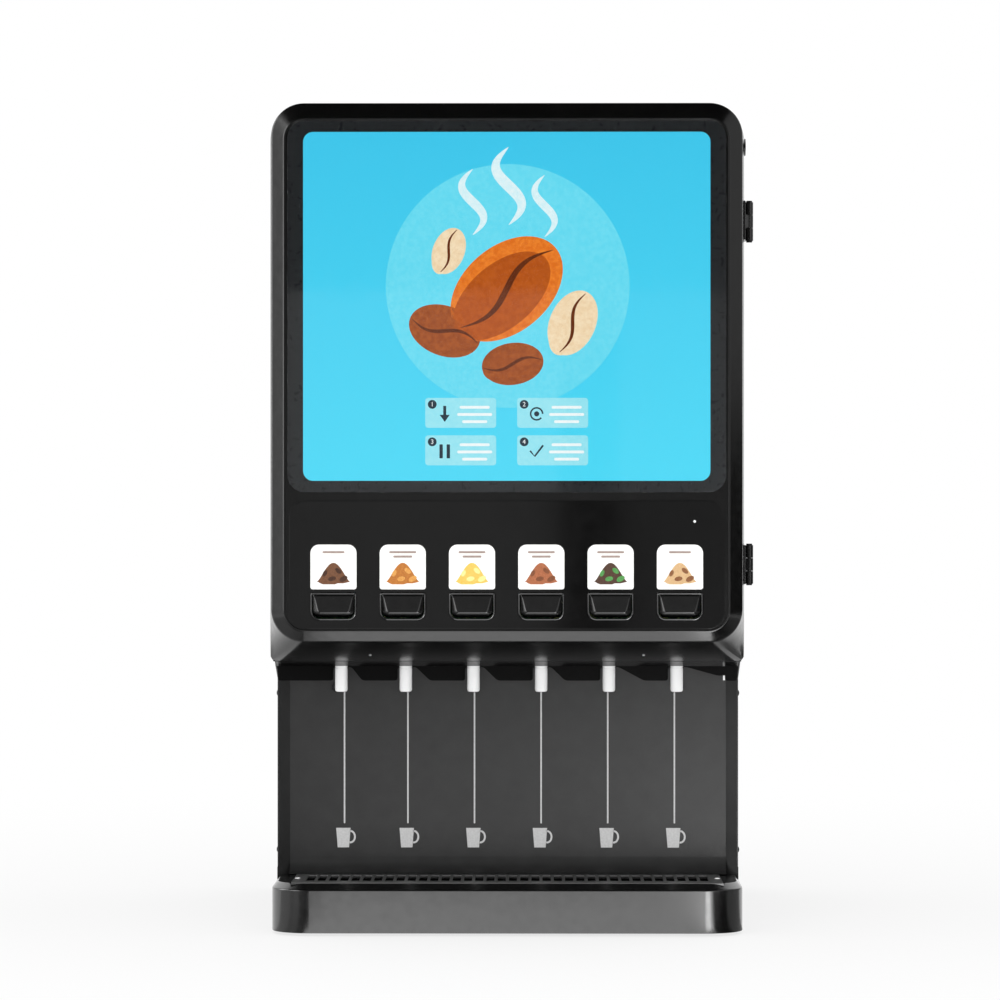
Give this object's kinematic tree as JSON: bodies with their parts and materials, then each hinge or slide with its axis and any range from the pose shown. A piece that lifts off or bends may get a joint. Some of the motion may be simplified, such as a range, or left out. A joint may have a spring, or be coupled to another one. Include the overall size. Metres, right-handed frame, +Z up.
{
  "type": "cappuccino dispenser",
  "caption": "Counter-top powder cappuccino dispenser: hinged door with a lit display and push paddles, fixed spouts over a cup bay with a lift-out drip tray, hoppers and mixers inside.",
  "frame": {"origin": "on the counter below the middle of the cabinet", "axes": "+Z up, -Y towards the user, +X to the user's right"},
  "size_m": [0.4905, 0.6005, 0.839],
  "materials": {
    "base_gray": "satin, fine texture",
    "rubber": "matte",
    "cabinet_paint": "satin textured paint",
    "splash_paint": "satin",
    "black_paint": "satin",
    "steel": "brushed",
    "black_screw": "black oxide",
    "hopper_clear": "translucent",
    "motor_gray": "satin",
    "bowl_gray": "satin",
    "white_plastic": "satin",
    "board_green": "satin",
    "brass": "turned",
    "black_plastic": "glossy",
    "grille_black": "satin",
    "door_gray": "satin gloss",
    "display_glass": "clear with a dark printed border",
    "display_sheet": "backlit translucent sheet",
    "card_white": "printed card",
    "paddle_gray": "fine texture",
    "amber_plastic": "satin"
  },
  "bodies": {
    "cabinet": {"base_shell": "base_gray", "rubber_feet": "rubber", "left_side_panel": "cabinet_paint", "right_side_panel": "cabinet_paint", "top_cover": "cabinet_paint", "back_panel": "cabinet_paint", "cabinet_floor": "black_paint", "splash_panel": "splash_paint", "spout_valance": "black_paint", "mixer_plate": "steel", "column_screws": "black_screw", "cabinet_hinge_leaves": "black_screw", "hinge_pins": "steel", "hoppers": "hopper_clear", "auger_motors": "motor_gray", "mixing_bowls": "bowl_gray", "whipper_motors": "motor_gray", "spouts": "white_plastic", "water_tank": "steel", "water_valves": "white_plastic", "control_board": "board_green", "inlet_valve": "brass", "cord_gland": "black_plastic"},
    "door": {"door_frame": "door_gray", "display_glass": "display_glass", "display_sheet": "display_sheet", "light_box": "white_plastic", "control_panel": "black_plastic", "flavor_cards": "card_white", "button_frames": "black_plastic", "switch_board": "board_green", "door_liner": "cabinet_paint", "door_hinge_leaves": "black_screw", "door_screws": "black_screw"},
    "drip_tray": {"drip_tray": "grille_black"},
    "drip_grille": {"drip_grille": "grille_black"},
    "button_1": {"button_1": "paddle_gray"},
    "auger_1": {"auger_1": "amber_plastic"},
    "impeller_1": {"impeller_1": "amber_plastic"},
    "flap_1": {"flap_1": "bowl_gray"},
    "button_2": {"button_2": "paddle_gray"},
    "auger_2": {"auger_2": "amber_plastic"},
    "impeller_2": {"impeller_2": "amber_plastic"},
    "flap_2": {"flap_2": "bowl_gray"},
    "button_3": {"button_3": "paddle_gray"},
    "auger_3": {"auger_3": "amber_plastic"},
    "impeller_3": {"impeller_3": "amber_plastic"},
    "flap_3": {"flap_3": "bowl_gray"},
    "button_4": {"button_4": "paddle_gray"},
    "auger_4": {"auger_4": "amber_plastic"},
    "impeller_4": {"impeller_4": "amber_plastic"},
    "flap_4": {"flap_4": "bowl_gray"},
    "button_5": {"button_5": "paddle_gray"},
    "auger_5": {"auger_5": "amber_plastic"},
    "impeller_5": {"impeller_5": "amber_plastic"},
    "flap_5": {"flap_5": "bowl_gray"},
    "button_6": {"button_6": "paddle_gray"},
    "auger_6": {"auger_6": "amber_plastic"},
    "impeller_6": {"impeller_6": "amber_plastic"},
    "flap_6": {"flap_6": "bowl_gray"}
  },
  "joints": [
    {"name": "door_swing", "type": "hinge", "parent": "cabinet", "child": "door", "pos_m": [0.2455, -0.229, 0.549], "axis": [0, 0, 1], "range_deg": [0, 120]},
    {"name": "tray_lift", "type": "slide", "parent": "cabinet", "child": "drip_tray", "axis": [0, 0, 1], "range_m": [0, 0.06]},
    {"name": "grille_lift", "type": "slide", "parent": "drip_tray", "child": "drip_grille", "axis": [0, 0, 1], "range_m": [0, 0.06]},
    {"name": "button_1_press", "type": "hinge", "parent": "door", "child": "button_1", "pos_m": [-0.17325, -0.285, 0.344], "axis": [1, 0, 0], "range_deg": [0, 7], "stiffness_Nm_per_rad": 0.5, "springref_deg": -1.72},
    {"name": "auger_1_spin", "type": "hinge", "parent": "cabinet", "child": "auger_1", "pos_m": [-0.17325, -0.03, 0.432], "axis": [0, 1, 0], "continuous": true},
    {"name": "impeller_1_spin", "type": "hinge", "parent": "cabinet", "child": "impeller_1", "pos_m": [-0.17325, -0.14, 0.32], "axis": [0, 1, 0], "continuous": true},
    {"name": "flap_1_lift", "type": "hinge", "parent": "cabinet", "child": "flap_1", "pos_m": [-0.17325, 0.002, 0.644], "axis": [-1, 0, 0], "range_deg": [0, 90]},
    {"name": "button_2_press", "type": "hinge", "parent": "door", "child": "button_2", "pos_m": [-0.10395, -0.285, 0.344], "axis": [1, 0, 0], "range_deg": [0, 7], "stiffness_Nm_per_rad": 0.5, "springref_deg": -1.72},
    {"name": "auger_2_spin", "type": "hinge", "parent": "cabinet", "child": "auger_2", "pos_m": [-0.10395, -0.03, 0.432], "axis": [0, 1, 0], "continuous": true},
    {"name": "impeller_2_spin", "type": "hinge", "parent": "cabinet", "child": "impeller_2", "pos_m": [-0.10395, -0.14, 0.32], "axis": [0, 1, 0], "continuous": true},
    {"name": "flap_2_lift", "type": "hinge", "parent": "cabinet", "child": "flap_2", "pos_m": [-0.10395, 0.002, 0.644], "axis": [-1, 0, 0], "range_deg": [0, 90]},
    {"name": "button_3_press", "type": "hinge", "parent": "door", "child": "button_3", "pos_m": [-0.03465, -0.285, 0.344], "axis": [1, 0, 0], "range_deg": [0, 7], "stiffness_Nm_per_rad": 0.5, "springref_deg": -1.72},
    {"name": "auger_3_spin", "type": "hinge", "parent": "cabinet", "child": "auger_3", "pos_m": [-0.03465, -0.03, 0.432], "axis": [0, 1, 0], "continuous": true},
    {"name": "impeller_3_spin", "type": "hinge", "parent": "cabinet", "child": "impeller_3", "pos_m": [-0.03465, -0.14, 0.32], "axis": [0, 1, 0], "continuous": true},
    {"name": "flap_3_lift", "type": "hinge", "parent": "cabinet", "child": "flap_3", "pos_m": [-0.03465, 0.002, 0.644], "axis": [-1, 0, 0], "range_deg": [0, 90]},
    {"name": "button_4_press", "type": "hinge", "parent": "door", "child": "button_4", "pos_m": [0.03465, -0.285, 0.344], "axis": [1, 0, 0], "range_deg": [0, 7], "stiffness_Nm_per_rad": 0.5, "springref_deg": -1.72},
    {"name": "auger_4_spin", "type": "hinge", "parent": "cabinet", "child": "auger_4", "pos_m": [0.03465, -0.03, 0.432], "axis": [0, 1, 0], "continuous": true},
    {"name": "impeller_4_spin", "type": "hinge", "parent": "cabinet", "child": "impeller_4", "pos_m": [0.03465, -0.14, 0.32], "axis": [0, 1, 0], "continuous": true},
    {"name": "flap_4_lift", "type": "hinge", "parent": "cabinet", "child": "flap_4", "pos_m": [0.03465, 0.002, 0.644], "axis": [-1, 0, 0], "range_deg": [0, 90]},
    {"name": "button_5_press", "type": "hinge", "parent": "door", "child": "button_5", "pos_m": [0.10395, -0.285, 0.344], "axis": [1, 0, 0], "range_deg": [0, 7], "stiffness_Nm_per_rad": 0.5, "springref_deg": -1.72},
    {"name": "auger_5_spin", "type": "hinge", "parent": "cabinet", "child": "auger_5", "pos_m": [0.10395, -0.03, 0.432], "axis": [0, 1, 0], "continuous": true},
    {"name": "impeller_5_spin", "type": "hinge", "parent": "cabinet", "child": "impeller_5", "pos_m": [0.10395, -0.14, 0.32], "axis": [0, 1, 0], "continuous": true},
    {"name": "flap_5_lift", "type": "hinge", "parent": "cabinet", "child": "flap_5", "pos_m": [0.10395, 0.002, 0.644], "axis": [-1, 0, 0], "range_deg": [0, 90]},
    {"name": "button_6_press", "type": "hinge", "parent": "door", "child": "button_6", "pos_m": [0.17325, -0.285, 0.344], "axis": [1, 0, 0], "range_deg": [0, 7], "stiffness_Nm_per_rad": 0.5, "springref_deg": -1.72},
    {"name": "auger_6_spin", "type": "hinge", "parent": "cabinet", "child": "auger_6", "pos_m": [0.17325, -0.03, 0.432], "axis": [0, 1, 0], "continuous": true},
    {"name": "impeller_6_spin", "type": "hinge", "parent": "cabinet", "child": "impeller_6", "pos_m": [0.17325, -0.14, 0.32], "axis": [0, 1, 0], "continuous": true},
    {"name": "flap_6_lift", "type": "hinge", "parent": "cabinet", "child": "flap_6", "pos_m": [0.17325, 0.002, 0.644], "axis": [-1, 0, 0], "range_deg": [0, 90]}
  ]
}
